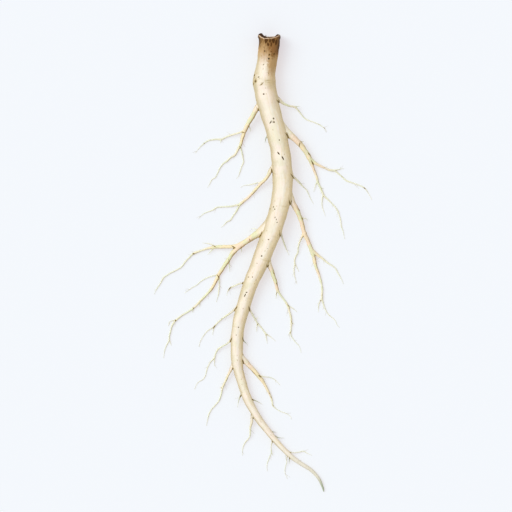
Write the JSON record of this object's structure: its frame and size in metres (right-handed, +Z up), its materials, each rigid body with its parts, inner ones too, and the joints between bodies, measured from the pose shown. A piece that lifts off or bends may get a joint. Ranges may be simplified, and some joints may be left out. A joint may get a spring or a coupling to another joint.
{
  "type": "burdock root",
  "caption": "Fresh burdock taproot in a shallow S curve, with forked side roots in two rows and a torn, cupped crown, lying on a surface.",
  "frame": {"origin": "on the surface that the root lies on, under the middle of its box", "axes": "+Y towards the crown, -Y towards the tip, +Z up from the surface, +X to the right seen from above with the crown away from the viewer"},
  "size_m": [0.2186, 0.4591, 0.0235],
  "materials": {
    "root_skin": "matt cream skin with tan shading, brown pores and a dark brown crown"
  },
  "bodies": {
    "root": {"root": "root_skin"}
  },
  "joints": []
}
